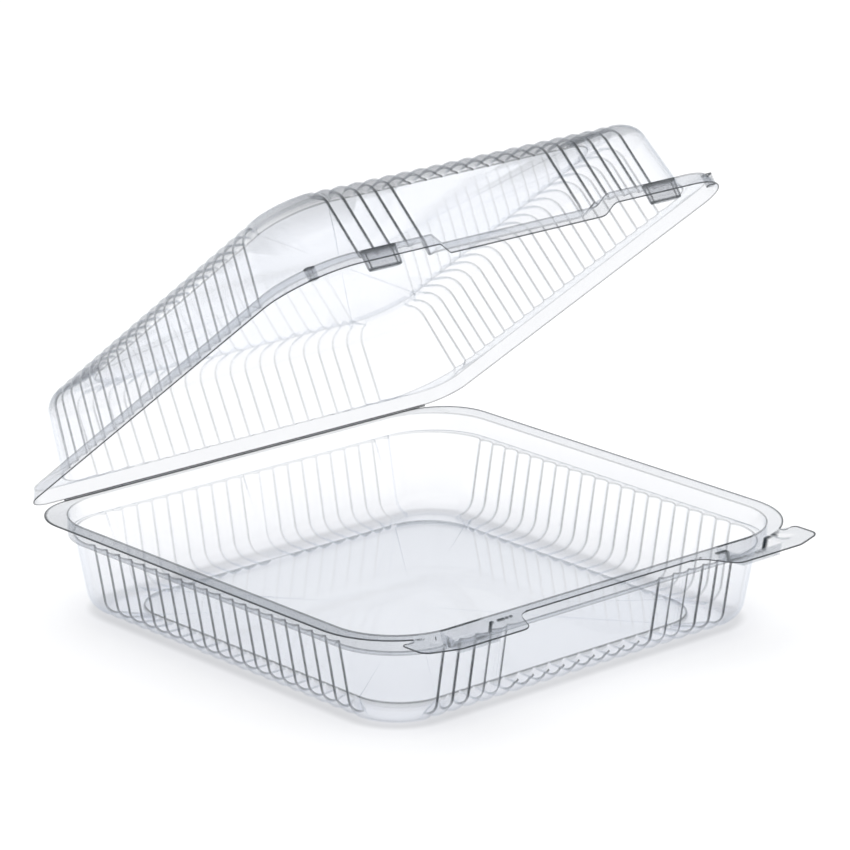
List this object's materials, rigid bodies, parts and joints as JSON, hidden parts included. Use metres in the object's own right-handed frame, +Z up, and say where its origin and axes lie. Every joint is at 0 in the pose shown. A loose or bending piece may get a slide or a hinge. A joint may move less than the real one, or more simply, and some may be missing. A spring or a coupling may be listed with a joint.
{
  "type": "hinged clamshell food container",
  "caption": "Clear hinged takeaway clamshell: fluted square tray with flange and locking tabs, and a fluted domed lid standing half open.",
  "frame": {"origin": "on the table, under the middle of the pack's footprint as it stands with the lid half open", "axes": "+Z up, +X along the living hinge, the hinge at +Y and the locking tabs at -Y"},
  "size_m": [0.218, 0.2406, 0.1853],
  "materials": {
    "clear_sheet": "clear high-gloss thermoformed sheet with a faint cool tint"
  },
  "bodies": {
    "base": {"base_tray": "clear_sheet"},
    "lid": {"hinged_lid": "clear_sheet"}
  },
  "joints": [
    {"name": "lid_hinge", "type": "hinge", "parent": "base", "child": "lid", "pos_m": [0, 0.10736, 0.0391], "axis": [-1, 0, 0], "range_deg": [-36.8, 143.2]}
  ]
}
